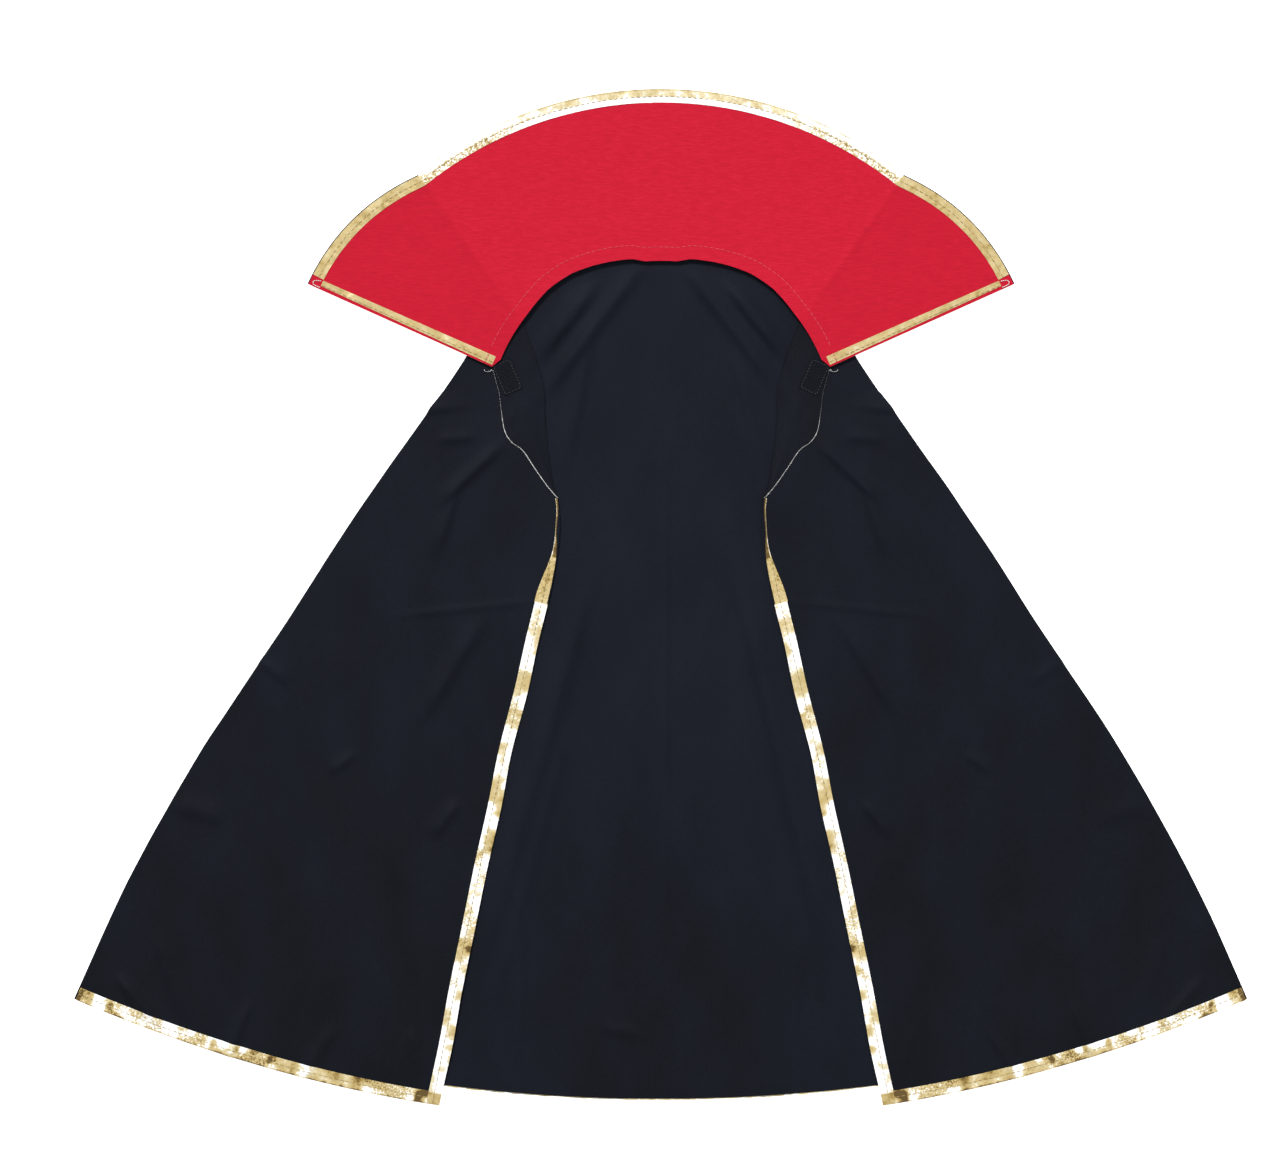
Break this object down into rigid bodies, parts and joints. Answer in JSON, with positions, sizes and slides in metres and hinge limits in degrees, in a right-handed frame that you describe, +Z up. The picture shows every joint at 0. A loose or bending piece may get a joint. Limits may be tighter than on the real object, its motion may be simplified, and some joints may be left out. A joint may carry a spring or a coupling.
{
  "type": "superhero cape",
  "caption": "Black costume cape laid flat with its fronts folded over, a stiff red fan collar, gold foil ribbon edging and hook-and-loop neck patches.",
  "frame": {"origin": "centre of the footprint of the folded cape, on the floor it lies on", "axes": "+X across the cape from the left side fold to the right one, +Y from the hem towards the collar, +Z up from the floor, towards the inner face of the back and the red face of the collar"},
  "size_m": [0.935, 0.8114, 0.0069],
  "materials": {
    "black_knit": "thin black polyester tricot knit, soft sheen",
    "red_face": "bright red woven face with fine horizontal slub, matte",
    "black_backing": "black tricot lining",
    "interlining": "stiff white non-woven interlining",
    "gold_ribbon": "creased gold foil on a white woven ribbon, glossy",
    "gold_thread": "gold sewing thread",
    "red_thread": "red sewing thread",
    "hook_and_loop": "black nylon hook-and-loop tape"
  },
  "bodies": {
    "back": {"back_panel": "black_knit", "back_hem_tape": "gold_ribbon", "left_side_turn": "black_knit", "right_side_turn": "black_knit", "left_lapel": "black_knit", "right_lapel": "black_knit", "left_lapel_tape": "gold_ribbon", "right_lapel_tape": "gold_ribbon", "left_hook_patch": "hook_and_loop", "right_loop_patch": "hook_and_loop"},
    "collar": {"neck_yoke": "black_knit", "left_neck_corner": "black_knit", "right_neck_corner": "black_knit", "collar_backing": "black_backing", "collar_stiffener": "interlining", "collar_face": "red_face", "collar_edge_tape": "gold_ribbon", "collar_topstitch": "red_thread"},
    "left_wing": {"left_wing_backing": "black_backing", "left_wing_stiffener": "interlining", "left_wing_face": "red_face", "left_wing_tape": "gold_ribbon", "left_end_tape": "gold_ribbon"},
    "right_wing": {"right_wing_backing": "black_backing", "right_wing_stiffener": "interlining", "right_wing_face": "red_face", "right_wing_tape": "gold_ribbon", "right_end_tape": "gold_ribbon"},
    "left_front": {"left_front_panel": "black_knit", "left_edge_tape": "gold_ribbon", "left_hem_tape": "gold_ribbon", "left_edge_stitch": "gold_thread", "left_hem_stitch": "gold_thread"},
    "right_front": {"right_front_panel": "black_knit", "right_edge_tape": "gold_ribbon", "right_hem_tape": "gold_ribbon", "right_edge_stitch": "gold_thread", "right_hem_stitch": "gold_thread"}
  },
  "joints": [
    {"name": "collar_stand", "type": "hinge", "parent": "back", "child": "collar", "pos_m": [0, 0.19157, 0.0072], "axis": [1, 0, 0], "range_deg": [0, 90]},
    {"name": "left_wing_fold", "type": "hinge", "parent": "collar", "child": "left_wing", "pos_m": [-0.13499, 0.18437, 0.005], "axis": [-0.36, 0.933, 0], "range_deg": [0, 178]},
    {"name": "right_wing_fold", "type": "hinge", "parent": "collar", "child": "right_wing", "pos_m": [0.13499, 0.18437, 0.005], "axis": [-0.36, -0.933, 0], "range_deg": [0, 178]},
    {"name": "left_front_open", "type": "hinge", "parent": "back", "child": "left_front", "pos_m": [-0.1576, 0.18847, 0.0042], "axis": [-0.5198, -0.8543, 0], "range_deg": [0, 178]},
    {"name": "right_front_open", "type": "hinge", "parent": "back", "child": "right_front", "pos_m": [0.1576, 0.18847, 0.0042], "axis": [-0.5198, 0.8543, 0], "range_deg": [0, 178]}
  ]
}
